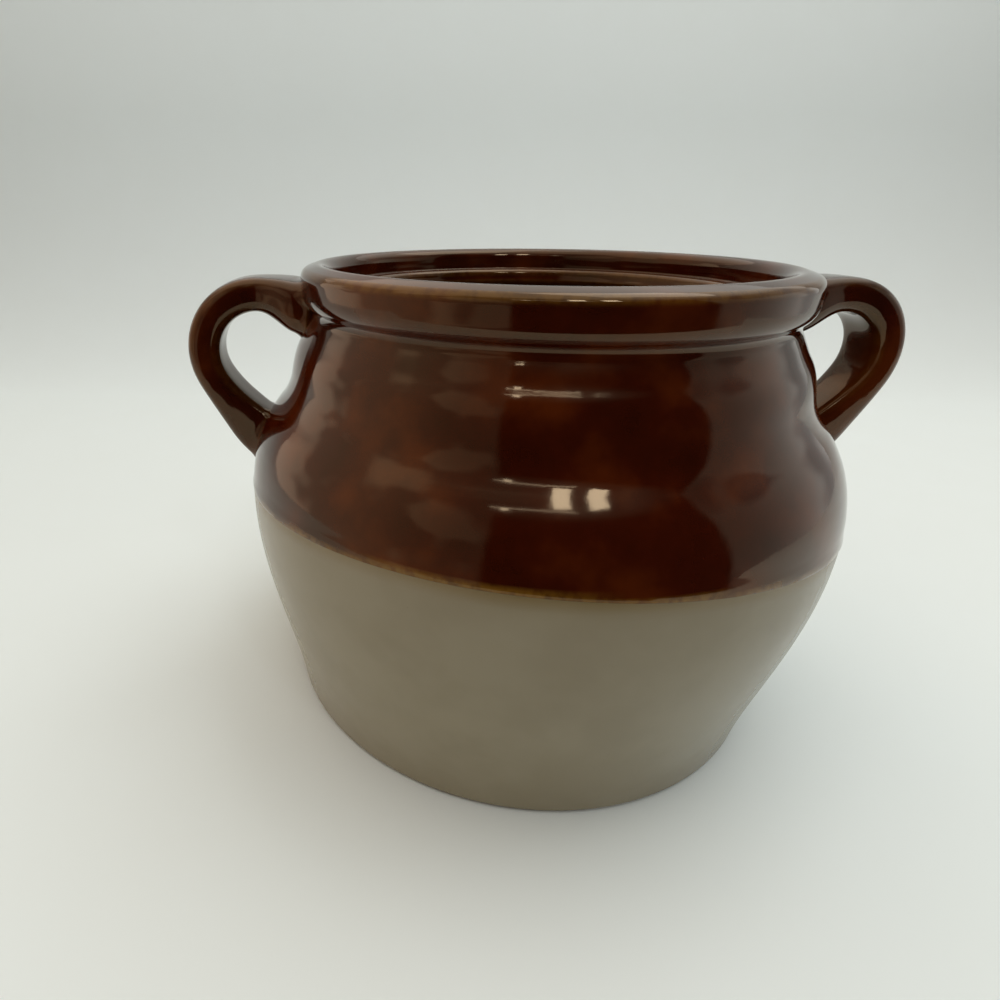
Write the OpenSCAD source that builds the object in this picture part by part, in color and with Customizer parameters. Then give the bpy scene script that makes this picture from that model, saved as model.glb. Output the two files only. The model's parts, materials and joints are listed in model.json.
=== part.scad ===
// Two-handled stoneware bean pot: a thrown clay body, two strap handles luted to it, and
// the three coats of glaze that the pot was dipped in and lined with.
// Millimetres, +Z up. The origin is the centre of the foot, on the surface that the pot
// stands on. The handles lie along X: the left one on -X, the right one on +X.
// Radii and heights are those of the finished, glazed pot unless a comment says otherwise.

/* [Body] */
// Height from the standing surface to the crown of the rim
pot_h = 134; // [128:1:146]
// Radius at the belly, the widest circle
belly_r = 90; // [87:0.5:96]
// Height of the belly above the standing surface
belly_z = 65; // [56:1:72]
// Radius of the wall where it rises from the foot
foot_r = 79.5; // [74:0.5:84]
// Rounding of the foot's outer edge
foot_edge_r = 1.8; // [1:0.1:3]
// Width of the ring that the pot stands on
foot_ring_w = 11; // [6:0.5:16]
// Depth of the shallow recess inside the foot ring
foot_recess = 1.5; // [0.5:0.1:3]
// Thickness of the thrown wall, clay only
wall_t = 6.4; // [5:0.2:8]
// Thickness of the floor above the standing surface, clay only
floor_t = 8.5; // [6:0.5:11]
// Radius of the hollow corner between floor and wall
floor_corner_r = 15; // [8:1:20]

/* [Shoulder and neck] */
// Steepest place of the shoulder, measured down from the crown
shoulder_drop = 39; // [36:0.5:42]
// How far the shoulder stands out there beyond the rim band
shoulder_out = 9.2; // [7:0.2:11]
// Waist above the shoulder, measured down from the crown
waist_drop = 29.6; // [28:0.2:32]
// How far the waist stands out beyond the rim band
waist_out = 4.4; // [3:0.2:6]
// Steepest place of the swelling on the neck, measured down from the crown
neck_drop = 20.5; // [19:0.5:22]
// How far the neck stands out there beyond the rim band
neck_out = 1.1; // [0:0.1:2]

/* [Rim] */
// Outside radius of the rim band
rim_r = 71; // [69:0.5:73]
// Height of the rim band, from the groove under it to the crown
rim_h = 13; // [12:0.5:14]
// Depth of the groove under the rim band
groove_d = 2.6; // [1.6:0.2:3.6]
// Rounding of the hollow of that groove, as a finger leaves it
groove_r = 3; // [2:0.2:3.4]
// Rounding of the rim band's lower edge
band_round_r = 4.5; // [3:0.2:5]
// Rounding of the rim band's upper, outer edge
brow_r = 2.4; // [1.5:0.1:3]
// Radius of the crown's inner rounding, over which the lip turns into the mouth
crown_r = 3; // [2:0.2:4]

/* [Lid seat] */
// Width of the lip, from the rim band's outside to the seat's upright wall
lip_w = 8.4; // [7.4:0.2:9.4]
// Depth of the seat below the crown
seat_depth = 7; // [5:0.5:9]
// Width of the flat ledge that a lid rests on
ledge_w = 2.4; // [1.5:0.1:4]

/* [Glaze] */
// Thickness of every coat of glaze
glaze_t = 0.4; // [0.2:0.05:0.8]
// Depth to which the pot was dipped in the brown glaze, from the crown, on the axis
dip_depth = 67.8; // [56:0.2:74]
// Lean of the dip, in degrees: how far the line climbs towards the front
dip_lean_front = 6.5; // [-8:0.1:8]
// Lean of the dip, in degrees: how far the line drops towards the right handle
dip_lean_right = 1.9; // [-3:0.1:3]

/* [Handles] */
// How far each handle stands out beyond the belly
handle_out = 18.2; // [15:0.2:21]
// Drop from the crown to the highest point of the left handle
handle_drop = 4.2; // [3.5:0.1:8]
// How much higher the right handle sits than the left one, as luted on by hand
right_handle_lift = 0.7; // [0:0.1:2.5]
// Radius of the loop's bend, along the middle of the strap
bend_r = 17.2; // [15:0.2:18.5]
// Drop of the strap's middle from the top of the loop to the rim
root_drop = 3.2; // [1:0.2:5]
// Lean of the straight lower limb from upright, in degrees
limb_lean = 26; // [22:1:32]
// Length of that limb, down to the tail that is smoothed onto the belly
limb_len = 34.5; // [31:0.5:36]
// Width of the strap
strap_w = 17; // [12:0.5:20]
// Thickness of the strap
strap_t = 9.7; // [7.5:0.1:11]
// Squareness of the strap's section: 1 is an ellipse, less is squarer
strap_round = 0.75; // [0.5:0.05:1]
// Extra width of the strap where it is luted under the rim
root_spread = 7; // [0:0.5:10]
// Clay filled in under the strap at the rim
root_fill = 4.6; // [0:0.2:9]
// Clay filled into the crotch between the lower limb and the shoulder
crotch_fill = 9.5; // [0:0.5:12]

/* [Hidden] */
$fn = 180;

// Slopes of the outside, as radius gained for each mm of height
foot_slope = 0.12;
shoulder_slope = -0.88;
waist_slope = -0.22;
neck_slope = -0.65;
under_groove_slope = -0.6;

// Steps along each stretch of the profile, and along its small roundings
wall_steps = 14;
neck_steps = 8;
round_steps = 6;
small_steps = 4;

// The clay under the glaze
clay_rim_r = rim_r - glaze_t;
clay_crown_z = pot_h - glaze_t;
groove_z = pot_h - rim_h;
seat_r = rim_r - lip_w;

// Radius from the pot's axis to the outermost point of each handle
handle_reach = belly_r + handle_out;

// Slope of the rim's top, in degrees down towards the outside
brow_lean = 18;

// Roundings of the lid seat: its inner corner, and the nose of the ledge
seat_fillet_r = 0.9;
ledge_round_r = 1.6;

// Sections along the strap: from rim to loop, round the loop, and down the limb
root_steps = 10;
bend_steps = 16;
limb_steps = 12;
section_sides = 24;

// Sections nearest the rim, over which the root keeps its full spread
root_full_steps = 3;
// Lean of the strap's root, in degrees, and what its outer face gains in thickness there
root_lean = 12;
root_thicken = 0.5;
// How far the root's end is sunk past the groove, so that it stays hidden in the clay
root_sink = 1.5;
// The tail: how much narrower it gets, what is left of its outer half thickness, and the
// share of the limb after which it thins
tail_narrow = 2;
tail_t = 2;
tail_from = 0.55;

// Smooth stretch of outside between two stations of [radius, height, slope], without its end
function blend(a, b, steps) = let (rise = b[1] - a[1]) [
    for (i = [0:steps - 1]) let (t = i / steps) [
        (2 * t^3 - 3 * t^2 + 1) * a[0] + (t^3 - 2 * t^2 + t) * rise * a[2]
        + (3 * t^2 - 2 * t^3) * b[0] + (t^3 - t^2) * rise * b[2],
        a[1] + rise * t]];

// Arc of a round stretch, both ends included
function arc(centre, r, from, to, steps) = [
    for (i = [0:steps]) let (a = from + (to - from) * i / steps) centre + r * [cos(a), sin(a)]];

// The path moved sideways by d, out of the clay where the path runs up the outside
function moved(path, d) = [
    for (i = [0:len(path) - 1])
        let (along = path[min(i + 1, len(path) - 1)] - path[max(i - 1, 0)])
        path[i] + d * [along[1], -along[0]] / norm(along)];

function reversed(path) = [for (i = [len(path) - 1:-1:0]) path[i]];

// Radius of a path at one height, for a path that rises all the way
function radius_at(path, z) = lookup(z, [for (p = path) [p[1], p[0]]]);

// ---- the clay's profile, as [radius, height] ----

foot_lean = atan(foot_slope);
foot_round = arc([foot_r - glaze_t - foot_edge_r, foot_edge_r], foot_edge_r, -90, -foot_lean, round_steps);
foot_top = foot_round[round_steps];

st_foot = [foot_top[0], foot_top[1], foot_slope];
st_belly = [belly_r - glaze_t, belly_z, 0];
st_shoulder = [clay_rim_r + shoulder_out, pot_h - shoulder_drop, shoulder_slope];
st_waist = [clay_rim_r + waist_out, pot_h - waist_drop, waist_slope];
st_neck = [clay_rim_r + neck_out, pot_h - neck_drop, neck_slope];
groove_centre = [clay_rim_r - groove_d + groove_r, groove_z];
// The groove runs into the band's lower rounding where the two arcs touch
rounds = groove_r + band_round_r;
touch_lean = acos((rounds - groove_d) / rounds);
groove_arc = arc(groove_centre, groove_r, 180 - atan(under_groove_slope), 180 - touch_lean, round_steps);
st_groove = [groove_arc[0][0], groove_arc[0][1], under_groove_slope];

wall_out = concat(
    blend(st_foot, st_belly, wall_steps),
    blend(st_belly, st_shoulder, wall_steps),
    blend(st_shoulder, st_waist, neck_steps),
    blend(st_waist, st_neck, neck_steps));
neck_out_path = blend(st_neck, st_groove, neck_steps);

band_arc = arc([clay_rim_r - band_round_r, groove_z + rounds * sin(touch_lean)],
    band_round_r, -touch_lean, 0, round_steps);
crown_centre = [seat_r + glaze_t + crown_r, clay_crown_z - crown_r];
brow_reach = clay_rim_r - brow_r - crown_centre[0];
brow_centre = [clay_rim_r - brow_r, crown_centre[1] + (crown_r - brow_r) / cos(brow_lean)
    - brow_reach * tan(brow_lean)];
brow_arc = arc(brow_centre, brow_r, 0, 90 - brow_lean, round_steps);
crown_arc_out = arc(crown_centre, crown_r, 90 - brow_lean, 90, small_steps);
crown_arc_in = arc(crown_centre, crown_r, 90, 180, round_steps);

// Seat for a lid, the throat under it and the hollow inside
clay_seat_r = seat_r + glaze_t;
ledge_z = pot_h - seat_depth - glaze_t;
throat_r = seat_r - ledge_w - ledge_round_r;
seat_fillet = arc([clay_seat_r - seat_fillet_r, ledge_z + seat_fillet_r], seat_fillet_r, 0, -90, small_steps);
ledge_round = arc([throat_r + glaze_t + ledge_round_r, ledge_z - ledge_round_r], ledge_round_r, 90, 180, round_steps);
throat_end = ledge_round[round_steps];

hollow = [for (p = moved(wall_out, -wall_t)) if (p[1] > floor_t + floor_corner_r) p];
hollow_top = hollow[len(hollow) - 1];
throat = blend([hollow_top[0], hollow_top[1], neck_slope], [throat_end[0], throat_end[1], 0], neck_steps);
corner_z = floor_t + floor_corner_r;
corner_x = radius_at(moved(wall_out, -wall_t), corner_z) - floor_corner_r;
floor_corner = arc([corner_x, corner_z], floor_corner_r, -foot_lean, -90, round_steps);

outside = concat(foot_round, [for (i = [1:len(wall_out) - 1]) wall_out[i]], neck_out_path,
    groove_arc, [for (i = [1:round_steps]) band_arc[i]], brow_arc, crown_arc_out);
inside = concat(crown_arc_in, seat_fillet, ledge_round,
    reversed([for (i = [1:neck_steps - 1]) throat[i]]), reversed(hollow), floor_corner, [[0, floor_t]]);
skin = concat(outside, [for (i = [1:len(inside) - 1]) inside[i]]);
glazed = moved(skin, glaze_t);
crown_i = len(outside) - 1;
coat_start_i = round_steps;

module turned(profile) rotate_extrude() polygon(profile);

// One stretch of glaze, lying on the clay between two points of its profile
module coat(from, to) turned(concat(
    [for (i = [from:to]) skin[i]],
    [for (i = [to:-1:from]) glazed[i]]));

module beside_glaze_line(bottom) {
    reach = 2 * handle_reach;
    translate([0, 0, pot_h - dip_depth]) rotate([-dip_lean_front, dip_lean_right, 0])
        translate([-reach / 2, -reach / 2, bottom]) cube([reach, reach, pot_h]);
}
module above_glaze_line() beside_glaze_line(0);
module below_glaze_line() beside_glaze_line(-pot_h);

// Everything inside the pot's outer surface, on which the handles end
module pot_block() turned(concat(
    [[0, glazed[coat_start_i][1]]],
    [for (i = [coat_start_i:crown_i]) glazed[i]],
    [[0, pot_h]]));

module pot_body() color("#b9a583") turned(concat(
    [[0, foot_recess], [foot_r - foot_ring_w - foot_recess, foot_recess], [foot_r - foot_ring_w, 0]],
    outside, [for (i = [1:len(inside) - 1]) inside[i]]));

// ---- handles ----

root_x = clay_rim_r - groove_d - root_sink;
bend_x = handle_reach - strap_t / 2 - bend_r;

function ease(t) = let (c = min(max(t, 0), 1)) c * c * (3 - 2 * c);

// Middle line of the strap, as [x, z, lean of the strap's outer normal]
function root_line(top_z) = [
    for (i = [0:root_steps - 1]) let (t = i / root_steps)
        [root_x + (bend_x - root_x) * t, top_z - root_drop * (1 - t)^2, 90 + root_lean * (1 - t)]];
function bend_line(top_z) = [
    for (i = [0:bend_steps]) let (a = 90 - (90 + limb_lean) * i / bend_steps)
        [bend_x + bend_r * cos(a), top_z - bend_r + bend_r * sin(a), a]];
function limb_line(top_z) = [
    for (i = [1:limb_steps]) let (run = limb_len * i / limb_steps)
        [bend_x + bend_r * cos(limb_lean) - run * sin(limb_lean),
         top_z - bend_r - bend_r * sin(limb_lean) - run * cos(limb_lean), -limb_lean]];
function strap_line(top_z) = concat(root_line(top_z), bend_line(top_z), limb_line(top_z));

strap_stations = root_steps + bend_steps + 1 + limb_steps;

// Extent of the strap's section at one station: [half width, outwards, towards the hole]
function strap_size(i) =
    let (root = ease(1 - (i - root_full_steps) / (root_steps - root_full_steps)),
         along = (i - root_steps - bend_steps) / limb_steps,
         tail = ease(along),
         thin = ease((along - tail_from) / (1 - tail_from)))
    [(strap_w + root_spread * root - tail_narrow * tail) / 2,
     strap_t / 2 + root_thicken * root - (strap_t / 2 - tail_t) * thin,
     strap_t / 2 + root_fill * root + crotch_fill * tail];

function squared(v) = sign(v) * abs(v)^strap_round;

function strap_ring(line, i) =
    let (mid = line[i], size = strap_size(i)) [
    for (k = [0:section_sides - 1])
        let (a = 360 * k / section_sides, u = squared(cos(a)), v = squared(sin(a)),
             out = v * (v > 0 ? size[1] : size[2]))
        [mid[0] + out * cos(mid[2]), u * size[0], mid[1] + out * sin(mid[2])]];

module strap(top_z) {
    line = strap_line(top_z);
    rings = [for (i = [0:strap_stations - 1]) each strap_ring(line, i)];
    last = (strap_stations - 1) * section_sides;
    sides = [
        for (i = [0:strap_stations - 2]) for (k = [0:section_sides - 1])
            let (a = i * section_sides + k, b = i * section_sides + (k + 1) % section_sides)
            each [[a, b, b + section_sides], [a, b + section_sides, a + section_sides]]];
    near_cap = [[for (k = [section_sides - 1:-1:0]) k]];
    far_cap = [[for (k = [0:section_sides - 1]) last + k]];
    polyhedron(points = rings, faces = concat(sides, near_cap, far_cap), convexity = 4);
}

module left_strap() mirror([1, 0, 0]) strap(pot_h - handle_drop - strap_t / 2);
module right_strap() strap(pot_h - handle_drop - strap_t / 2 + right_handle_lift);

module handle_left() color("#4a1c0c") difference() {
    left_strap();
    pot_block();
}

module handle_right() color("#4a1c0c") difference() {
    right_strap();
    pot_block();
}

// ---- coats of glaze ----

module brown_glaze() color("#4a1c0c") difference() {
    coat(coat_start_i, crown_i);
    below_glaze_line();
}

module cream_glaze() color("#b8ae97") difference() {
    coat(coat_start_i, crown_i);
    above_glaze_line();
}

module inside_glaze() color("#4a1c0c") coat(crown_i, len(skin) - 1);

pot_body();
handle_left();
handle_right();
brown_glaze();
cream_glaze();
inside_glaze();
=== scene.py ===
"""Two-handled stoneware bean pot: glaze coats, luted strap handles, finishes, camera and light.

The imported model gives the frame. The clay keeps its CAD node; each coat of glaze and each
handle gets a smooth piece of its own that lies where its node lies. Sizes are millimetres,
with Z up from the surface the pot stands on, and become metres where a mesh is made.
"""

from __future__ import annotations

import json
import logging
import math
from dataclasses import dataclass, field
from enum import Enum

import bpy  # noqa: E402
from mathutils import Matrix, Vector  # noqa: E402

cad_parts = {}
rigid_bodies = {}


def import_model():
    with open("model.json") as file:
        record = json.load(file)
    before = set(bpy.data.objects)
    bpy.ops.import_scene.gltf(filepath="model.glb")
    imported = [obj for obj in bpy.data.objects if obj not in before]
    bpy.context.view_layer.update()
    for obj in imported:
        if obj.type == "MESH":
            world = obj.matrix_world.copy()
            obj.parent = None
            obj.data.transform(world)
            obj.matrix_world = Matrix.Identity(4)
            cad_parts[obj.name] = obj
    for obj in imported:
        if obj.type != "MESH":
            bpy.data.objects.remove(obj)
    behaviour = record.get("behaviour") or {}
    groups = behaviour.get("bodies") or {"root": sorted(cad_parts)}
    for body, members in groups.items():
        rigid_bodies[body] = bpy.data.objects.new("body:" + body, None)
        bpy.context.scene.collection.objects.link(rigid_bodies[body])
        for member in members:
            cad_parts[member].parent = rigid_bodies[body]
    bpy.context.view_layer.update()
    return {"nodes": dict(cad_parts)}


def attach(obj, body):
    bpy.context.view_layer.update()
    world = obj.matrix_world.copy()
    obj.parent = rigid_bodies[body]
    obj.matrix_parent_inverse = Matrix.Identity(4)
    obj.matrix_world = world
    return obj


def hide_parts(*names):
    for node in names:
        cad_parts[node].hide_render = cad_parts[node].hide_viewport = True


LOG = logging.getLogger("bean_pot")
MM = 0.001
MERGE = 0.002 * MM
# Nearly all values of a noise lie in this range.
NOISE_RANGE = (0.35, 0.65)

Point = tuple[float, float]
Span = tuple[float, float]
Place = tuple[float, float, float]
Path = list[Point]
# A point of the profile, as its radius, its height and its slope dr/dz.
Bend = tuple[float, float, float]
# A strap's section: x, z and lean, then its width and its thickness out of the loop and into it.
Station = tuple[Place, float, float, float]
Piece = bpy.types.Object
Material = bpy.types.Material
Tree = bpy.types.NodeTree
Socket = bpy.types.NodeSocket
Inputs = dict[str | int, object]


class Slot(Enum):
    """The record's material slots."""

    CLAY = "stoneware_clay"
    BROWN = "brown_glaze"
    CREAM = "cream_glaze"
    LINER = "liner_glaze"


class Side(Enum):
    """The two sides of the pot that carry a handle."""

    LEFT = "left"
    RIGHT = "right"


# ---- materials ----


def linear(colour: str) -> tuple[float, float, float, float]:
    """Turns an sRGB hex colour to linear RGBA.

    Args:
        colour: the colour as "#RRGGBB".

    Returns:
        Linear red, green, blue and an alpha of 1.
    """
    parts = [int(colour[i : i + 2], 16) / 255 for i in (1, 3, 5)]
    red, green, blue = (
        c / 12.92 if c <= 0.04045 else ((c + 0.055) / 1.055) ** 2.4 for c in parts
    )
    return red, green, blue, 1.0


class Kind(Enum):
    """The nodes in use: each one's type, its settings and the output that is read."""

    OBJECT_PLACE = ("ShaderNodeTexCoord", {}, "Object")
    RAY = ("ShaderNodeTexCoord", {}, "Generated")
    CAMERA_RAY = ("ShaderNodeLightPath", {}, "Is Camera Ray")
    THIN_GLAZE = ("ShaderNodeAttribute", {"attribute_name": "thin_glaze"}, "Fac")
    UNDER_EDGE = ("ShaderNodeAttribute", {"attribute_name": "under_edge"}, "Fac")
    X = ("ShaderNodeSeparateXYZ", {}, "X")
    Y = ("ShaderNodeSeparateXYZ", {}, "Y")
    Z = ("ShaderNodeSeparateXYZ", {}, "Z")
    SCALE = ("ShaderNodeVectorMath", {"operation": "SCALE"}, "Vector")
    STRETCH = ("ShaderNodeVectorMath", {"operation": "MULTIPLY"}, "Vector")
    NORMALIZE = ("ShaderNodeVectorMath", {"operation": "NORMALIZE"}, "Vector")
    DOT = ("ShaderNodeVectorMath", {"operation": "DOT_PRODUCT"}, "Value")
    ADD = ("ShaderNodeMath", {"operation": "ADD", "use_clamp": True}, "Value")
    SUBTRACT = ("ShaderNodeMath", {"operation": "SUBTRACT", "use_clamp": True}, "Value")
    MULTIPLY = ("ShaderNodeMath", {"operation": "MULTIPLY"}, "Value")
    MULTIPLY_ADD = ("ShaderNodeMath", {"operation": "MULTIPLY_ADD"}, "Value")
    MAXIMUM = ("ShaderNodeMath", {"operation": "MAXIMUM"}, "Value")
    # Maps a range smoothly to 0..1 or to another range, and holds the ends.
    SPREAD = ("ShaderNodeMapRange", {"interpolation_type": "SMOOTHSTEP"}, "Result")
    NOISE = ("ShaderNodeTexNoise", {}, "Fac")
    CELLS = ("ShaderNodeTexVoronoi", {}, "Distance")
    RAMP = ("ShaderNodeValToRGB", {}, "Color")
    MIX = ("ShaderNodeMix", {"data_type": "RGBA"}, 2)
    BUMP = ("ShaderNodeBump", {}, "Normal")
    PRINCIPLED = ("ShaderNodeBsdfPrincipled", {}, "BSDF")
    BACKGROUND = ("ShaderNodeBackground", {}, "Background")
    MIX_SHADER = ("ShaderNodeMixShader", {}, "Shader")


def add_node(tree: Tree, kind: Kind, inputs: Inputs | tuple[object, ...] = ()) -> Socket:
    """Adds one node with its settings, socket values and links.

    Args:
        tree: the node tree it goes in.
        kind: the node.
        inputs: plain values, or output sockets to link from; in the order of the
            node's own inputs, or by their names or numbers.

    Returns:
        The node's output.
    """
    type_name, settings, output = kind.value
    node = tree.nodes.new(type_name)
    for name, value in settings.items():
        setattr(node, name, value)
    pairs = inputs.items() if isinstance(inputs, dict) else enumerate(inputs)
    for key, value in pairs:
        if isinstance(value, Socket):
            tree.links.new(value, node.inputs[key])
        else:
            node.inputs[key].default_value = value
    return node.outputs[output]


class Finish:
    """A material on one Principled shader, with patterns laid out in millimetres."""

    name: str

    def shade(self, tree: Tree, place: Socket) -> Inputs:
        """Adds the finish's nodes.

        Args:
            tree: the material's node tree.
            place: the position in millimetres, so that a pattern's scale is one over
                its real size.

        Returns:
            The shader's inputs.
        """
        raise NotImplementedError

    def make(self) -> Material:
        """Builds the material.

        Returns:
            The material.
        """
        material = bpy.data.materials.new(self.name)
        material.use_nodes = True
        tree = material.node_tree
        tree.nodes.clear()
        metres = add_node(tree, Kind.OBJECT_PLACE)
        place = add_node(tree, Kind.SCALE, {0: metres, "Scale": 1 / MM})
        shader = add_node(tree, Kind.PRINCIPLED, self.shade(tree, place))
        output = tree.nodes.new("ShaderNodeOutputMaterial")
        tree.links.new(shader, output.inputs["Surface"])
        return material


@dataclass(frozen=True)
class BrownGlaze(Finish):
    """Iron-brown glaze, dipped and fired glossy: runs thin and golden over edges.

    The eye sees a deep red-brown under a wet-looking gloss, softly mottled a centimetre
    or two wide, and gold where the glaze broke over an edge.
    """

    name: str = "iron_brown_glaze_dipped_and_fired"
    deep: str = "#2C0901"
    body: str = "#390E02"
    warm: str = "#511F05"
    gold: str = "#74501A"
    sheen: str = "#FFE2B8"
    mottle_mm: float = 18.0
    mottle_stops: tuple[float, float, float] = (0.32, 0.50, 0.68)
    streak_mm: float = 2.2
    streak_range: Span = (0.30, 0.62)
    streak_gold: Span = (0.35, 1.0)
    ring_mm: float = 5.0
    ring_height_mm: float = 0.10
    ring_stretch: float = 0.07
    low_mm: float = 0.0
    low_fade_mm: float = 1.0
    low_ring_height_mm: float = 0.10
    peel_mm: float = 1.3
    peel_height_mm: float = 0.005
    roughness: Span = (0.05, 0.09)
    ior: float = 1.54

    def colour(self, tree: Tree, place: Socket) -> Socket:
        """Mottled brown that turns golden where a vertex is marked as thin.

        Args:
            tree: the node tree.
            place: the position in millimetres.

        Returns:
            The colour.
        """
        broad = add_node(tree, Kind.NOISE, {"Vector": place, "Scale": 1 / self.mottle_mm, "Detail": 4.0})
        ramp = add_node(tree, Kind.RAMP, (broad,))
        elements = ramp.node.color_ramp.elements
        elements.new(1.0)
        browns = (self.deep, self.body, self.warm)
        for element, stop, brown in zip(elements, self.mottle_stops, browns):
            element.position = stop
            element.color = linear(brown)
        fine = add_node(tree, Kind.NOISE, {"Vector": place, "Scale": 1 / self.streak_mm, "Detail": 3.0})
        streaks = add_node(tree, Kind.SPREAD, (fine, *self.streak_range, *self.streak_gold))
        thin = add_node(tree, Kind.MULTIPLY, (add_node(tree, Kind.THIN_GLAZE), streaks))
        return add_node(tree, Kind.MIX, {0: thin, 6: ramp, 7: linear(self.gold)})

    def shade(self, tree: Tree, place: Socket) -> Inputs:
        """Adds the colour, the throwing rings and the orange peel.

        Args:
            tree: the material's node tree.
            place: the position in millimetres.

        Returns:
            The shader's inputs.
        """
        # Throwing rings run round the pot, so the noise is drawn out along X and Y.
        rings = add_node(tree, Kind.STRETCH, (place, (self.ring_stretch, self.ring_stretch, 1.0)))
        ripple = add_node(tree, Kind.NOISE, {"Vector": rings, "Scale": 1 / self.ring_mm, "Detail": 1.0})
        # The rings have another height below `low_mm` than above it.
        fade = (self.low_mm - self.low_fade_mm, self.low_mm + self.low_fade_mm)
        heights = (self.low_ring_height_mm * MM, self.ring_height_mm * MM)
        depth = add_node(tree, Kind.SPREAD, (add_node(tree, Kind.Z, (place,)), *fade, *heights))
        waves = add_node(tree, Kind.BUMP, {"Height": ripple, "Distance": depth, "Strength": 1.0})
        peel = add_node(tree, Kind.NOISE, {"Vector": place, "Scale": 1 / self.peel_mm, "Detail": 1.0})
        skin = {"Height": peel, "Distance": self.peel_height_mm * MM, "Strength": 1.0, "Normal": waves}
        return {
            "Base Color": self.colour(tree, place),
            "Roughness": add_node(tree, Kind.SPREAD, (ripple, *NOISE_RANGE, *self.roughness)),
            "IOR": self.ior,
            "Specular Tint": linear(self.sheen),
            "Normal": add_node(tree, Kind.BUMP, skin),
        }


@dataclass(frozen=True)
class CreamGlaze(Finish):
    """Clear feldspar glaze over buff stoneware, poured and fired: warm grey-cream, semi-gloss.

    The eye sees a calm, slightly cloudy cream with a few iron specks from the clay and a
    soft, broad reflection instead of a mirror.
    """

    name: str = "cream_feldspar_glaze_over_buff_clay"
    cream: str = "#92876D"
    cloud: str = "#8B7F64"
    tan: str = "#7F673B"
    speck: str = "#4A3524"
    cloud_mm: float = 26.0
    grain_mm: float = 3.5
    grain_range: Span = (0.30, 0.70)
    grain_height_mm: float = 0.004
    speck_mm: float = 9.0
    speck_rim: Span = (0.035, 0.02)
    group_mm: float = 22.5
    group_range: Span = (0.56, 0.60)
    roughness: Span = (0.22, 0.25)
    ior: float = 1.5

    def shade(self, tree: Tree, place: Socket) -> Inputs:
        """Adds the clouds, the specks, the tan beside the brown coat and the grain.

        Args:
            tree: the material's node tree.
            place: the position in millimetres.

        Returns:
            The shader's inputs.
        """
        cloud = add_node(tree, Kind.NOISE, {"Vector": place, "Scale": 1 / self.cloud_mm, "Detail": 3.0})
        clouds = add_node(tree, Kind.SPREAD, (cloud, *NOISE_RANGE))
        colour = add_node(tree, Kind.MIX, {0: clouds, 6: linear(self.cream), 7: linear(self.cloud)})
        # Iron specks, about half a millimetre across and, in groups, a centimetre apart.
        cells = add_node(tree, Kind.CELLS, {"Vector": place, "Scale": 1 / self.speck_mm})
        dots = add_node(tree, Kind.SPREAD, (cells, *self.speck_rim))
        group = add_node(tree, Kind.NOISE, {"Vector": place, "Scale": 1 / self.group_mm, "Detail": 0.0})
        groups = add_node(tree, Kind.SPREAD, (group, *self.group_range))
        specks = add_node(tree, Kind.MULTIPLY, (dots, groups))
        colour = add_node(tree, Kind.MIX, {0: specks, 6: colour, 7: linear(self.speck)})
        near_edge = add_node(tree, Kind.UNDER_EDGE)
        grain = add_node(tree, Kind.NOISE, {"Vector": place, "Scale": 1 / self.grain_mm, "Detail": 0.0})
        skin = {"Height": grain, "Distance": self.grain_height_mm * MM, "Strength": 1.0}
        return {
            "Base Color": add_node(tree, Kind.MIX, {0: near_edge, 6: colour, 7: linear(self.tan)}),
            "Roughness": add_node(tree, Kind.SPREAD, (grain, *self.grain_range, *self.roughness)),
            "IOR": self.ior,
            "Normal": add_node(tree, Kind.BUMP, skin),
        }


@dataclass(frozen=True)
class BareClay(Finish):
    """Fired buff stoneware, wiped clean of glaze where the pot stands.

    The eye sees dry, sandy tan clay with darker grains.
    """

    name: str = "buff_stoneware_wiped_foot"
    clay: str = "#8E7A5C"
    sand: str = "#6B5840"
    grog_mm: float = 0.9
    grog_range: Span = (0.40, 0.65)
    grog_height_mm: float = 0.08
    grog_strength: float = 0.8
    stain_mm: float = 12.0
    roughness: float = 0.85

    def shade(self, tree: Tree, place: Socket) -> Inputs:
        """Adds the grains of grog and the stains.

        Args:
            tree: the material's node tree.
            place: the position in millimetres.

        Returns:
            The shader's inputs.
        """
        grog = add_node(tree, Kind.NOISE, {"Vector": place, "Scale": 1 / self.grog_mm, "Detail": 3.0})
        grains = add_node(tree, Kind.SPREAD, (grog, *self.grog_range))
        colour = add_node(tree, Kind.MIX, {0: grains, 6: linear(self.clay), 7: linear(self.sand)})
        stain = add_node(tree, Kind.NOISE, {"Vector": place, "Scale": 1 / self.stain_mm, "Detail": 3.0})
        stains = add_node(tree, Kind.SPREAD, (stain, *NOISE_RANGE))
        skin = {"Height": grog, "Distance": self.grog_height_mm * MM, "Strength": self.grog_strength}
        return {
            "Base Color": add_node(tree, Kind.MIX, {0: stains, 6: colour, 7: linear(self.clay)}),
            "Roughness": self.roughness,
            "Normal": add_node(tree, Kind.BUMP, skin),
        }


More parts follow.
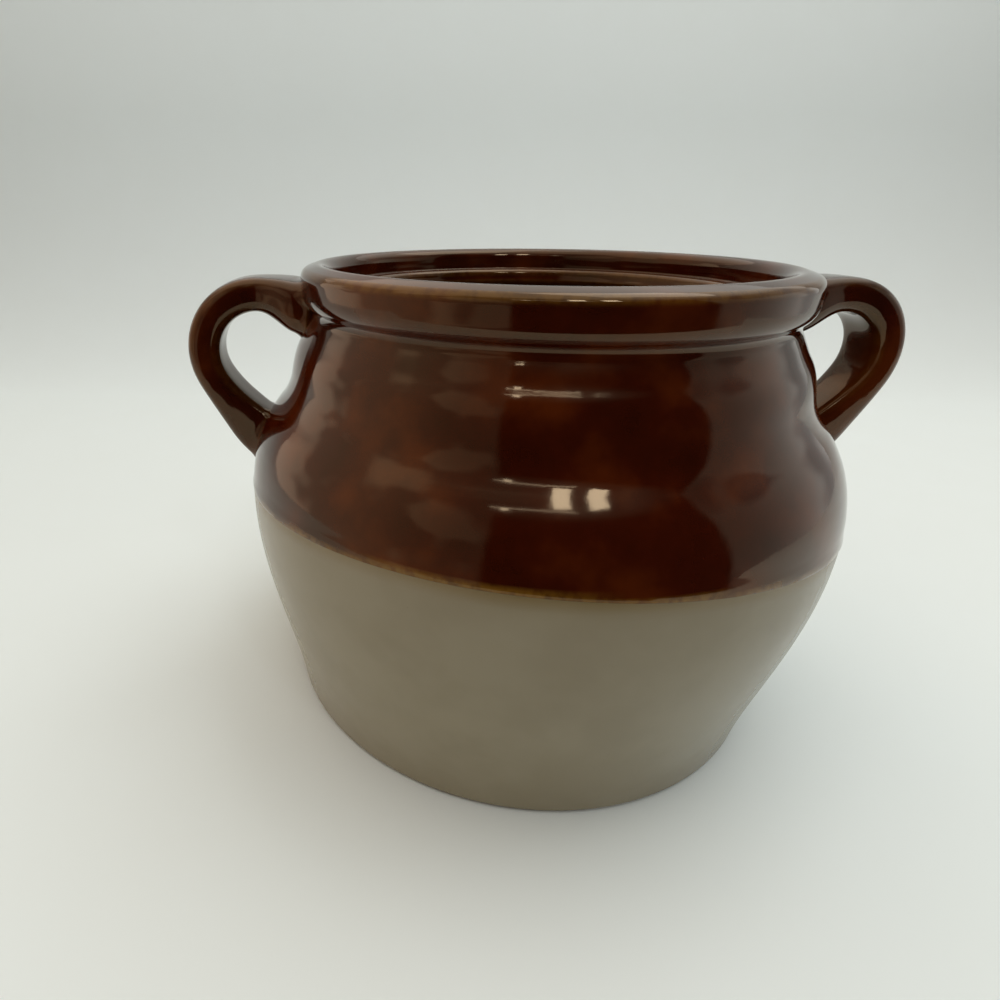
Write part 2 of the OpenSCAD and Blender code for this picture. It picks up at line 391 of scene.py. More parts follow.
@dataclass(frozen=True)
class SweepPaper(Finish):
    """Matt white paper sweep.

    The eye sees an even, pale surface, with a trace of painted shade darkening it towards the top.
    """

    name: str = "matt_white_paper_sweep"
    near: str = "#E9F0F0"
    # A trace darker than near: painted shade at the top of the sweep.
    far: str = "#E6ECEA"
    far_mm: float = 600.0
    fibre_mm: float = 40.0
    fibre_range: Span = (0.30, 0.70)
    fibre_share: float = 0.15
    roughness: float = 0.9
    gloss: float = 0.2

    def shade(self, tree: Tree, place: Socket) -> Inputs:
        """Adds the two whites, the upper one a painted shade, with a little fibre between them.

        Args:
            tree: the material's node tree.
            place: the position in millimetres.

        Returns:
            The shader's inputs.
        """
        # With height the sweep turns to the far white: painted shade towards its top.
        height = add_node(tree, Kind.SPREAD, (add_node(tree, Kind.Z, (place,)), 0.0, self.far_mm))
        fibre = add_node(tree, Kind.NOISE, {"Vector": place, "Scale": 1 / self.fibre_mm, "Detail": 4.0})
        fibres = add_node(tree, Kind.SPREAD, (fibre, *self.fibre_range, 0.0, self.fibre_share))
        share = add_node(tree, Kind.ADD, (height, fibres))
        whites = {0: share, 6: linear(self.near), 7: linear(self.far)}
        return {
            "Base Color": add_node(tree, Kind.MIX, whites),
            "Roughness": self.roughness,
            "Specular IOR Level": self.gloss,
        }


# ---- modelling ----


def pick_only(piece: Piece | None) -> None:
    """Deselects everything, then selects and activates one object.

    Args:
        piece: the object, or None to leave nothing selected.
    """
    if bpy.context.object is not None and bpy.context.object.mode != "OBJECT":
        bpy.ops.object.mode_set(mode="OBJECT")
    bpy.ops.object.select_all(action="DESELECT")
    if piece is not None:
        piece.select_set(True)
        bpy.context.view_layer.objects.active = piece


def pick_points(piece: Piece, wanted: set[int]) -> None:
    """In edit mode, leaves just these vertices selected, in vertex select mode.

    Args:
        piece: the object being edited.
        wanted: indices of the vertices.
    """
    bpy.ops.mesh.select_mode(type="VERT")
    bpy.ops.mesh.select_all(action="DESELECT")
    bpy.ops.object.mode_set(mode="OBJECT")
    for vertex in piece.data.vertices:
        vertex.select = vertex.index in wanted
    bpy.ops.object.mode_set(mode="EDIT")


def apply_modifiers(piece: Piece) -> None:
    """Applies every modifier of a piece, from the first.

    Args:
        piece: the object.
    """
    pick_only(piece)
    for modifier in list(piece.modifiers):
        bpy.ops.object.modifier_apply(modifier=modifier.name)


def weld() -> None:
    """Merges points that lie in one place, turns all faces outwards and ends edit mode."""
    bpy.ops.mesh.select_all(action="SELECT")
    bpy.ops.mesh.remove_doubles(threshold=MERGE)
    bpy.ops.mesh.normals_make_consistent(inside=False)
    bpy.ops.object.mode_set(mode="OBJECT")


def swell(piece: Piece, name: str, weights: list[float], height: float) -> None:
    """Pushes a piece's surface outwards, by a weight at each vertex.

    Args:
        piece: the object.
        name: name of the vertex group and of the modifier.
        weights: each vertex's share of the height, from 0 to 1.
        height: how far a weight of 1 is pushed, in millimetres.
    """
    group = piece.vertex_groups.new(name=name)
    for index, weight in enumerate(weights):
        if weight > 0:
            group.add([index], weight, "REPLACE")
    push = piece.modifiers.new(name, "DISPLACE")
    push.vertex_group = group.name
    push.strength = height * MM
    push.mid_level = 0.0
    apply_modifiers(piece)


def lathe(name: str, outline: Path, steps: int) -> Piece:
    """Turns an outline round the pot's axis, as on a wheel.

    A point is extruded along the outline, the chain is closed and spun all the way round,
    and its seam is merged.

    Args:
        name: the object's name.
        outline: radius and height of each corner, in millimetres, all the way round.
        steps: how many faces go round the pot.

    Returns:
        The new object, with its faces pointing outwards.
    """
    pick_only(None)
    first = outline[0]
    bpy.ops.mesh.primitive_plane_add(size=MM, location=(first[0] * MM, 0, first[1] * MM))
    piece = bpy.context.object
    piece.name = name
    bpy.ops.object.transform_apply(location=True, rotation=True, scale=True)
    bpy.ops.object.mode_set(mode="EDIT")
    bpy.ops.mesh.select_mode(type="VERT")
    bpy.ops.mesh.select_all(action="SELECT")
    bpy.ops.mesh.merge(type="CENTER")
    for start, end in zip(outline, outline[1:]):
        step = ((end[0] - start[0]) * MM, 0.0, (end[1] - start[1]) * MM)
        bpy.ops.mesh.extrude_region_move(TRANSFORM_OT_translate={"value": step})
    last = len(piece_points(piece)) - 1
    pick_points(piece, {0, last})
    bpy.ops.mesh.edge_face_add()
    bpy.ops.mesh.select_all(action="SELECT")
    bpy.ops.mesh.spin(steps=steps, angle=2 * math.pi, center=(0, 0, 0), axis=(0, 0, 1))
    weld()
    return piece


def piece_points(piece: Piece) -> list[Vector]:
    """Reads the vertices of the object being edited.

    Args:
        piece: the object.

    Returns:
        The place of each vertex, in metres.
    """
    bpy.ops.object.mode_set(mode="OBJECT")
    places = [vertex.co.copy() for vertex in piece.data.vertices]
    bpy.ops.object.mode_set(mode="EDIT")
    return places


def smoothstep(value: float, low: float, high: float) -> float:
    """Goes smoothly from 0 at low to 1 at high."""
    t = min(max((value - low) / (high - low), 0.0), 1.0)
    return t * t * (3 - 2 * t)


def store(piece: Piece, name: str, values: list[float]) -> None:
    """Stores one number for each vertex, for a material to read.

    Args:
        piece: the object.
        name: the attribute's name.
        values: the number for each vertex.
    """
    attribute = piece.data.attributes.new(name, "FLOAT", "POINT")
    attribute.data.foreach_set("value", values)


def convexity(piece: Piece) -> list[float]:
    """How sharply the surface turns outwards at each vertex, as one over a radius in mm.

    Args:
        piece: the object.

    Returns:
        The strongest outward bend at each vertex; negative in a hollow.
    """
    mesh = piece.data
    shortest_mm = 0.001
    bend = [-math.inf] * len(mesh.vertices)
    for edge in mesh.edges:
        a, b = (mesh.vertices[i] for i in edge.vertices)
        along = (b.co - a.co) / MM
        length_2 = along.length_squared
        if length_2 < shortest_mm**2:
            continue
        bend[a.index] = max(bend[a.index], -2 * a.normal.dot(along) / length_2)
        bend[b.index] = max(bend[b.index], 2 * b.normal.dot(along) / length_2)
    return bend


def finish_piece(
    piece: Piece, material: Material, nodes: tuple[str, ...], crease_deg: float = 50.0
) -> None:
    """Smooths, dresses and fastens a finished piece.

    Args:
        piece: the object.
        material: its material.
        nodes: the CAD nodes it stands for.
        crease_deg: edges sharper than this stay sharp.
    """
    pick_only(piece)
    bpy.ops.object.shade_smooth_by_angle(angle=math.radians(crease_deg))
    piece.data.materials.clear()
    piece.data.materials.append(material)
    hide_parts(*nodes)
    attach(piece, "root")
    faces = len(piece.data.polygons)
    LOG.info("%s: %d faces, stands for %s", piece.name, faces, ", ".join(nodes))


# ---- the pot's profile ----


def arc(centre: Point, radius: float, start: float, end: float, steps: int) -> Path:
    """Points of a round stretch, both ends included.

    Args:
        centre: the circle's centre.
        radius: its radius.
        start: the first angle, in degrees from the first axis.
        end: the last angle.
        steps: how many straight pieces it has.

    Returns:
        The points.
    """
    turns = [math.radians(start + (end - start) * i / steps) for i in range(steps + 1)]
    return [
        (centre[0] + radius * math.cos(a), centre[1] + radius * math.sin(a)) for a in turns
    ]


def blend(low: Bend, high: Bend, steps: int) -> Path:
    """Smooth stretch between two points of a profile.

    Args:
        low: where it starts.
        high: where it ends.
        steps: how many straight pieces it has.

    Returns:
        The points, without the last one.
    """
    rise = high[1] - low[1]
    made = []
    for i in range(steps):
        t = i / steps
        ends = (2 * t**3 - 3 * t**2 + 1) * low[0] + (3 * t**2 - 2 * t**3) * high[0]
        slopes = (t**3 - 2 * t**2 + t) * low[2] + (t**3 - t**2) * high[2]
        made.append((ends + rise * slopes, low[1] + rise * t))
    return made


def moved(path: Path, out: float) -> Path:
    """Moves a path sideways.

    Args:
        path: the path, which runs up the outside.
        out: how far it moves out of the clay.

    Returns:
        The moved path.
    """
    made = []
    for i, (x, z) in enumerate(path):
        before, after = path[max(i - 1, 0)], path[min(i + 1, len(path) - 1)]
        dx, dz = after[0] - before[0], after[1] - before[1]
        length = math.hypot(dx, dz)
        made.append((x + out * dz / length, z - out * dx / length))
    return made


def radius_at(path: Path, height: float) -> float:
    """Radius of a rising path at one height, held at its ends.

    Args:
        path: the path.
        height: the height.

    Returns:
        The radius.
    """
    if height <= path[0][1]:
        return path[0][0]
    for (r0, z0), (r1, z1) in zip(path, path[1:]):
        if z0 <= height <= z1:
            share = (height - z0) / (z1 - z0) if z1 > z0 else 0.0
            return r0 + (r1 - r0) * share
    return path[-1][0]


@dataclass
class Profile:
    """The thrown clay's section, in millimetres, from the foot over the rim to the floor."""

    pot_h: float = 134.0
    belly_r: float = 90.0
    belly_z: float = 65.0
    foot_r: float = 79.5
    foot_edge_r: float = 1.8
    wall_t: float = 6.4
    floor_t: float = 8.5
    floor_corner_r: float = 15.0
    shoulder_drop: float = 39.0
    shoulder_out: float = 9.2
    waist_drop: float = 29.6
    waist_out: float = 4.4
    neck_drop: float = 20.5
    neck_out: float = 1.1
    rim_r: float = 71.0
    rim_h: float = 13.0
    groove_d: float = 2.6
    groove_r: float = 3.0
    band_round_r: float = 4.5
    brow_r: float = 2.4
    brow_lean: float = 18.0
    crown_r: float = 3.0
    seat_r: float = 62.6
    seat_depth: float = 7.0
    ledge_w: float = 2.4
    seat_fillet_r: float = 0.9
    ledge_round_r: float = 1.6
    glaze_t: float = 0.4
    foot_slope: float = 0.12
    shoulder_slope: float = -0.88
    waist_slope: float = -0.22
    neck_slope: float = -0.65
    under_groove_slope: float = -0.6
    ring_pitch: float = 5.0
    ring_depth: float = 0.7
    ring_step: float = 0.6
    wall_steps: tuple[int, int, int, int] = (24, 22, 10, 10)
    round_steps: int = 10
    edge_steps: int = 8
    fillet_steps: int = 5
    crown_steps: int = 4
    outside: Path = field(init=False)
    inside: Path = field(init=False)
    glazed: Path = field(init=False)
    foot_end: int = field(init=False)
    crown: int = field(init=False)

    def __post_init__(self) -> None:
        """Works the outline out from the sizes."""
        self.outside = self._make_outside()
        self.inside = self._make_inside()
        self.crown = len(self.outside) - 1
        self.glazed = moved(self.skin, self.glaze_t)

    @property
    def skin(self) -> Path:
        """The clay's whole surface, outside and then inside."""
        return self.outside + self.inside[1:]

    @property
    def clay_rim_r(self) -> float:
        """Radius of the rim's clay, under the glaze."""
        return self.rim_r - self.glaze_t

    @property
    def neck(self) -> Bend:
        """Where the wall ends and the curve into the groove begins."""
        return (self.clay_rim_r + self.neck_out, self.pot_h - self.neck_drop, self.neck_slope)

    @property
    def crown_centre(self) -> Point:
        """Centre of the rounding over which the lip turns into the mouth."""
        inset = self.glaze_t + self.crown_r
        return (self.seat_r + inset, self.pot_h - inset)

    def _wall(self) -> Path:
        """Draws the outside from the foot's edge up to the neck.

        Returns:
            The path, without the neck's own point.
        """
        rim = self.clay_rim_r
        foot = arc(
            (self.foot_r - self.glaze_t - self.foot_edge_r, self.foot_edge_r),
            self.foot_edge_r,
            -90,
            -math.degrees(math.atan(self.foot_slope)),
            self.edge_steps,
        )
        self.foot_end = len(foot) - 1
        stations = [
            (*foot[-1], self.foot_slope),
            (self.belly_r - self.glaze_t, self.belly_z, 0.0),
            (rim + self.shoulder_out, self.pot_h - self.shoulder_drop, self.shoulder_slope),
            (rim + self.waist_out, self.pot_h - self.waist_drop, self.waist_slope),
            self.neck,
        ]
        wall = foot[:-1]
        for low, high, steps in zip(stations, stations[1:], self.wall_steps):
            wall += blend(low, high, steps)
        return wall

    def _make_outside(self) -> Path:
        """Draws the outside.

        Returns:
            The path from the foot to the top of the crown.
        """
        rim, crown = self.clay_rim_r, self.crown_centre
        groove_z = self.pot_h - self.rim_h
        # The groove runs into the band's lower rounding where the two arcs touch.
        rounds = self.groove_r + self.band_round_r
        touch = math.acos((rounds - self.groove_d) / rounds)
        groove = arc(
            (rim - self.groove_d + self.groove_r, groove_z),
            self.groove_r,
            180 - math.degrees(math.atan(self.under_groove_slope)),
            180 - math.degrees(touch),
            self.round_steps,
        )
        band = arc(
            (rim - self.band_round_r, groove_z + rounds * math.sin(touch)),
            self.band_round_r,
            -math.degrees(touch),
            0,
            self.round_steps,
        )
        # The leaning line between brow and crown touches both of their rounds.
        reach = rim - self.brow_r - crown[0]
        lean = math.radians(self.brow_lean)
        step = (self.crown_r - self.brow_r) / math.cos(lean)
        brow = (rim - self.brow_r, crown[1] + step - reach * math.tan(lean))
        return (
            self._wall()
            + blend(self.neck, (*groove[0], self.under_groove_slope), self.round_steps)
            + groove
            + band[1:]
            + arc(brow, self.brow_r, 0, 90 - self.brow_lean, self.round_steps)
            + arc(crown, self.crown_r, 90 - self.brow_lean, 90, self.crown_steps)
        )

    def _make_inside(self) -> Path:
        """Draws the inside.

        Returns:
            The path from the crown over the lid seat and down to the floor's centre.
        """
        crown = self.crown_centre
        seat = self.seat_r + self.glaze_t
        ledge_z = self.pot_h - self.seat_depth - self.glaze_t
        throat_r = self.seat_r - self.ledge_w - self.ledge_round_r
        fillet = arc(
            (seat - self.seat_fillet_r, ledge_z + self.seat_fillet_r),
            self.seat_fillet_r,
            0,
            -90,
            self.fillet_steps,
        )
        nose = arc(
            (throat_r + self.glaze_t + self.ledge_round_r, ledge_z - self.ledge_round_r),
            self.ledge_round_r,
            90,
            180,
            self.edge_steps,
        )
        corner_z = self.floor_t + self.floor_corner_r
        inner = moved(self._wall(), -self.wall_t)
        hollow = [p for p in inner if p[1] > corner_z]
        throat = blend((*hollow[-1], self.neck_slope), (*nose[-1], 0.0), self.round_steps)
        corner = arc(
            (radius_at(inner, corner_z) - self.floor_corner_r, corner_z),
            self.floor_corner_r,
            -math.degrees(math.atan(self.foot_slope)),
            -90,
            self.round_steps,
        )
        return (
            arc(crown, self.crown_r, 90, 180, self.round_steps)
            + fillet
            + nose
            + throat[:0:-1]
            + hollow[::-1]
            + corner
            + [(0.0, self.floor_t)]
        )

    def lining(self) -> Path:
        """Draws the glazed inside, with the thrower's finger rings in its wall.

        Returns:
            The path from the crown down to the floor's centre.
        """
        path = self.glazed[self.crown :]
        top = self.pot_h - self.seat_depth - self.glaze_t - self.ledge_round_r
        low = self.floor_t + self.floor_corner_r
        rising = [p for p in path if low < p[1] < top][::-1]
        ringed = []
        for i in range(1, round((top - low) / self.ring_step)):
            drop = i * self.ring_step
            wave = (1 - math.cos(2 * math.pi * drop / self.ring_pitch)) / 2
            fade = smoothstep(top - drop, low, low + 2 * self.ring_pitch)
            radius = radius_at(rising, top - drop) - self.ring_depth * wave * fade
            ringed.append((radius, top - drop))
        above = [p for p in path if p[1] >= top]
        below = [p for p in path if p[1] <= low]
        return above + ringed + below

    def clearance(self, place: Vector) -> float:
        """How far a point, in metres, stands off the glazed outside, in millimetres."""
        outside = self.glazed[self.foot_end : self.crown + 1]
        return math.hypot(place.x, place.y) / MM - radius_at(outside, place.z / MM)


# ---- glaze coats ----


@dataclass
class GlazeCoats:
    """The cream dip, the brown dip over it and the brown lining."""

    profile: Profile
    line_z: float = 66.2
    dip_front_deg: float = 6.5
    dip_right_deg: float = 1.9
    steps: int = 256
    roll_mm: float = 0.28
    roll_upper: Span = (3.0, 0.9)
    roll_lower: Span = (-0.4, 0.5)
    face_slack: float = 0.1
    edge_bend: Span = (0.30, 0.41)
    gold_mm: float = 1.3
    gold_share: float = 0.9
    brow_fade_mm: float = 1.5
    lining_gold: float = 0.25
    tan_mm: float = 4.0
    tan_share: float = 0.55

    @property
    def line_normal(self) -> Vector:
        """Normal of the tilted plane in which the brown coat stops.

        Returns:
            The normal, which points up.
        """
        right = Matrix.Rotation(math.radians(self.dip_right_deg), 3, "Y")
        front = Matrix.Rotation(math.radians(-self.dip_front_deg), 3, "X")
        return right @ front @ Vector((0, 0, 1))

    def above_line(self, place: Vector) -> float:
        """Height of a point above the glaze line, in millimetres."""
        return (place / MM - Vector((0, 0, self.line_z))).dot(self.line_normal)

    def _dipped(self, name: str, keep_above: bool) -> Piece:
        """Turns the glaze of the whole outside and keeps one side of the glaze line.

        Args:
            name: the coat's name.
            keep_above: True keeps what lies above the line.

        Returns:
            The coat.
        """
        start, end = self.profile.foot_end, self.profile.crown + 1
        glazed = self.profile.glazed[start:end]
        coat = lathe(name, self.profile.skin[start:end] + glazed[::-1], self.steps)
        self._cut(coat, keep_above)
        return coat

    def _cut(self, piece: Piece, keep_above: bool) -> None:
        """Cuts a coat along the glaze line and closes the cut.

        Args:
            piece: the coat.
            keep_above: True keeps what lies above the line.
        """
        pick_only(piece)
        bpy.ops.object.mode_set(mode="EDIT")
        bpy.ops.mesh.select_all(action="SELECT")
        bpy.ops.mesh.bisect(
            plane_co=(0, 0, self.line_z * MM),
            plane_no=tuple(self.line_normal),
            use_fill=False,
            clear_inner=keep_above,
            clear_outer=not keep_above,
        )
        bpy.ops.mesh.select_all(action="DESELECT")
        bpy.ops.mesh.select_mode(type="EDGE")
        bpy.ops.mesh.select_non_manifold(
            extend=False,
            use_wire=False,
            use_boundary=True,
            use_multi_face=False,
            use_non_contiguous=False,
            use_verts=False,
        )
        bpy.ops.mesh.bridge_edge_loops()
        weld()

    def _roll_edge(self, piece: Piece) -> None:
        """Thickens the brown coat to a soft roll along its lower edge.

        Args:
            piece: the brown coat.
        """
        weights = []
        for vertex in piece.data.vertices:
            height = self.above_line(vertex.co)
            on_face = self.profile.clearance(vertex.co) > -self.face_slack
            roll = smoothstep(height, *self.roll_upper) * smoothstep(height, *self.roll_lower)
            weights.append(roll if on_face else 0.0)
        swell(piece, "roll", weights, self.roll_mm)

    def _mark(self, piece: Piece) -> None:
        """Marks where the brown glaze is thin: over edges and along the glaze line.

        Args:
            piece: the coat.
        """
        edges = [smoothstep(bend, *self.edge_bend) for bend in convexity(piece)]
        if piece.name != "brown_coat":
            store(piece, "thin_glaze", [self.lining_gold * edge for edge in edges])
            return
        values = []
        brow = self.profile.crown_centre[1]
        for vertex, edge in zip(piece.data.vertices, edges):
            line = smoothstep(self.above_line(vertex.co), self.gold_mm, self.gold_mm / 2)
            high = smoothstep(vertex.co.z / MM, brow, brow + self.brow_fade_mm)
            values.append(max(self.gold_share * edge * high, line))
        store(piece, "thin_glaze", values)

    def build(self, brown: Material, cream: Material, poured: Material) -> None:
        """Builds and dresses the three coats.

        Args:
            brown: the brown glaze.
            cream: the cream glaze.
            poured: the brown glaze of the lining.
        """
        upper = self._dipped("brown_coat", True)
        self._roll_edge(upper)
        self._mark(upper)
        finish_piece(upper, brown, ("brown_glaze",))

        lower = self._dipped("cream_coat", False)
        heights = [self.above_line(vertex.co) for vertex in lower.data.vertices]
        tan = [self.tan_share * smoothstep(height, -self.tan_mm, 0.0) for height in heights]
        store(lower, "under_edge", tan)
        finish_piece(lower, cream, ("cream_glaze",))

        inside = self.profile.skin[self.profile.crown :] + self.profile.lining()[::-1]
        lining = lathe("liner_coat", inside, self.steps)
        self._mark(lining)
        finish_piece(lining, poured, ("inside_glaze",))


# ---- handles ----


@dataclass
class StrapHandle:
    """A pulled strap, bent to a loop and luted to the rim band and the shoulder."""

    side: Side
    profile: Profile
    top_z: float
    bend_x: float
    loop_turn_deg: float
    bend_r: float = 17.2
    limb_lean: float = 26.0
    limb_len: float = 34.5
    strap_w: float = 17.0
    strap_t: float = 9.7
    corner_r: float = 3.4
    root_x: float = 66.5
    root_drop: float = 3.2
    root_lean: float = 12.0
    root_spread: float = 7.0
    root_thicken: float = 0.5
    root_fill: float = 4.6
    crotch_fill: float = 9.5
    tail_narrow: float = 2.0
    tail_t: float = 2.0
    tail_from: float = 0.55
    bend_steps: int = 12
    limb_steps: int = 9
    root_steps: int = 8
    root_full: float = 0.7
    corner_steps: int = 3
    near_corner: float = 0.49
    smooth_levels: int = 3
    lute_reach: float = 3.0
    lute_out: float = 0.9
    edge_bend: Span = (0.18, 0.34)
    edge_gold: float = 0.18
    crease_deg: float = 80.0

    def _start(self) -> Piece:
        """Draws the strap's section at the top of the loop.

        Returns:
            A rounded rectangle that stands across X, in edit mode.
        """
        pick_only(None)
        bpy.ops.mesh.primitive_plane_add(
            size=1.0,
            location=(self.bend_x * MM, 0, self.top_z * MM),
            rotation=(0, math.pi / 2, 0),
        )
        piece = bpy.context.object
        piece.name = f"strap_{self.side.value}"
        piece.scale = (self.strap_t * MM, self.strap_w * MM, 1)
        bpy.ops.object.transform_apply(location=True, rotation=True, scale=True)
        bpy.ops.object.mode_set(mode="EDIT")
        bpy.ops.mesh.select_mode(type="VERT")
        bpy.ops.mesh.select_all(action="SELECT")
        bpy.ops.mesh.subdivide(number_cuts=1)
        bpy.ops.mesh.select_all(action="DESELECT")
        beside, over = self.near_corner * self.strap_w * MM, self.near_corner * self.strap_t * MM
        corners = {
            i
            for i, p in enumerate(piece_points(piece))
            if abs(p.y) > beside and abs(p.z - self.top_z * MM) > over
        }
        pick_points(piece, corners)
        bpy.ops.mesh.bevel(
            offset=self.corner_r * MM, segments=self.corner_steps, affect="VERTICES", profile=0.5
        )
        bpy.ops.mesh.select_mode(type="FACE")
        bpy.ops.mesh.select_all(action="SELECT")
        bpy.ops.mesh.delete(type="ONLY_FACE")
        bpy.ops.mesh.select_mode(type="VERT")
        middle = Vector((self.bend_x, 0, self.top_z)) * MM
        places = piece_points(piece)
        pick_points(piece, {min(range(len(places)), key=lambda i: (places[i] - middle).length)})
        bpy.ops.mesh.delete(type="VERT")
        return piece

    @staticmethod
    def _turn(angle_deg: float, centre: Vector, axis: str = "Y") -> None:
        """Turns the selection about Y, from +Z towards +X, or about Z, from +X towards +Y.

        Args:
            angle_deg: the angle, in degrees.
            centre: the point that stays, in metres.
            axis: "Y" or "Z".
        """
        bpy.ops.transform.rotate(
            value=-math.radians(angle_deg),
            orient_axis=axis,
            orient_type="GLOBAL",
            center_override=tuple(centre),
        )

    @staticmethod
    def _middle(station: Station) -> Vector:
        """Finds the middle of a section.

        Args:
            station: the section; with a lean of 90 its outer side faces up.

        Returns:
            The middle, in millimetres.
        """
        (x, z, lean), _, outwards, inwards = station
        out, angle = (outwards - inwards) / 2, math.radians(lean)
        return Vector((x + out * math.cos(angle), 0, z + out * math.sin(angle)))

    def _step(self, here: Station, there: Station) -> None:
        """Extrudes the selected section from one station to the next.

        Args:
            here: the station that it stands on.
            there: the station of the new section.
        """
        (_, _, lean), wide, outwards, inwards = here
        (_, _, new_lean), new_wide, new_outwards, new_inwards = there
        step = (self._middle(there) - self._middle(here)) * MM
        bpy.ops.mesh.extrude_region_move(TRANSFORM_OT_translate={"value": step})
        centre = self._middle(there) * MM
        self._turn(lean - 90, centre)
        factors = (1, new_wide / wide, (new_outwards + new_inwards) / (outwards + inwards))
        bpy.ops.transform.resize(
            value=factors, orient_type="GLOBAL", center_override=tuple(centre)
        )
        self._turn(90 - new_lean, centre)

    def _limb(self) -> list[Station]:
        """Lays out the straight limb.

        Returns:
            The stations from the bend down to the tail.
        """
        lean = math.radians(self.limb_lean)
        start_x = self.bend_x + self.bend_r * math.cos(lean)
        start_z = self.top_z - self.bend_r - self.bend_r * math.sin(lean)
        half_t = self.strap_t / 2
        made = []
        for i in range(self.limb_steps + 1):
            share = i / self.limb_steps
            run, tail = self.limb_len * share, smoothstep(share, 0, 1)
            thin = smoothstep(share, self.tail_from, 1)
            x, z = start_x - run * math.sin(lean), start_z - run * math.cos(lean)
            width = self.strap_w - self.tail_narrow * tail
            outwards = half_t - (half_t - self.tail_t) * thin
            inwards = half_t + self.crotch_fill * tail
            made.append(((x, z, -self.limb_lean), width, outwards, inwards))
        return made

    def _root(self) -> list[Station]:
        """Lays out the root.

        Returns:
            The stations from the loop's top to the rim.
        """
        half_t = self.strap_t / 2
        made = []
        for i in range(self.root_steps + 1):
            share = i / self.root_steps
            root = smoothstep(share, 0.0, self.root_full)
            x = self.bend_x + (self.root_x - self.bend_x) * share
            z = self.top_z - self.root_drop * share**2
            width = self.strap_w + self.root_spread * root
            outwards = half_t + self.root_thicken * root
            inwards = half_t + self.root_fill * root
            made.append(((x, z, 90 + self.root_lean * share), width, outwards, inwards))
        return made

    def _run(self, stations: list[Station], turn_deg: float = 0.0) -> None:
        """Extrudes the selected section through stations, of which it stands on the first.

        Args:
            stations: the places and sizes of the sections.
            turn_deg: by how much the last section is turned about Z against the first.
        """
        for here, there in zip(stations, stations[1:]):
            self._step(here, there)
            x, z, _ = there[0]
            self._turn(turn_deg / (len(stations) - 1), Vector((x, 0, z)) * MM, "Z")

    def _lute(self, piece: Piece) -> None:
        """Flares the strap where it meets the pot, as clay is smoothed on with a thumb.

        Args:
            piece: the strap.
        """
        gaps = [self.profile.clearance(vertex.co) for vertex in piece.data.vertices]
        near = [1 - min(max(gap / self.lute_reach, 0.0), 1.0) for gap in gaps]
        swell(piece, "luted", [share**2 for share in near], self.lute_out)

    def build(self, brown: Material) -> None:
        """Builds and dresses the handle.

        Args:
            brown: the brown glaze.
        """
        piece = self._start()
        first = set(range(len(piece_points(piece))))
        pick_points(piece, first)
        bpy.ops.mesh.spin(
            steps=self.bend_steps,
            angle=-math.radians(90 + self.limb_lean),
            center=(self.bend_x * MM, 0, (self.top_z - self.bend_r) * MM),
            axis=(0, 1, 0),
        )
        self._run(self._limb())
        bpy.ops.mesh.edge_face_add()
        bpy.ops.mesh.select_all(action="SELECT")
        self._turn(self.loop_turn_deg, Vector((self.bend_x * MM, 0, 0)), "Z")
        pick_points(piece, first)
        self._run(self._root(), -self.loop_turn_deg)
        bpy.ops.mesh.edge_face_add()
        if self.side is Side.LEFT:
            bpy.ops.mesh.select_all(action="SELECT")
            bpy.ops.transform.mirror(
                constraint_axis=(True, False, False),
                orient_type="GLOBAL",
                center_override=(0, 0, 0),
            )
        weld()
        smooth = piece.modifiers.new("smooth", "SUBSURF")
        smooth.levels = smooth.render_levels = self.smooth_levels
        apply_modifiers(piece)
        self._lute(piece)
        edges = [smoothstep(bend, *self.edge_bend) for bend in convexity(piece)]
        store(piece, "thin_glaze", [self.edge_gold * edge for edge in edges])
        finish_piece(piece, brown, (f"handle_{self.side.value}",), self.crease_deg)


# ---- stage ----


@dataclass(frozen=True)
class Lamp:
    """A soft rectangular lamp: its centre, the point it faces and its size in mm, and its power."""

    name: str
    place: Place
    target: Place
    size: Point
    watts: float

    def hang(self) -> None:
        """Adds the lamp to the scene."""
        data = bpy.data.lights.new(self.name, "AREA")
        data.shape = "RECTANGLE"
        data.size, data.size_y = self.size[0] * MM, self.size[1] * MM
        data.energy = self.watts
        lamp = bpy.data.objects.new(self.name, data)
        bpy.context.collection.objects.link(lamp)
        at = Vector(self.place) * MM
        lamp.location = at
        lamp.rotation_euler = (Vector(self.target) * MM - at).to_track_quat("-Z", "Y").to_euler()


# Two large lamps light the paper; the small ones are the highlights in the gloss.
LAMPS = (
    Lamp("top_soft", (300, 150, 900), (0, 0, 60), (600, 500), 1.6),
    Lamp("wall_soft", (0, 330, 430), (0, 560, 300), (1300, 120), 0.5),
    Lamp("lamp_a", (70, -549, 744), (0, 0, 97), (80, 110), 0.29),
    Lamp("lamp_b", (226, -528, 723), (0, 0, 97), (80, 110), 0.29),
    Lamp("lamp_c", (-190, -606, 690), (0, 0, 97), (40, 26), 0.03),
    Lamp("lamp_line", (-60, -640, 740), (0, 0, 100), (420, 12), 0.08),
)


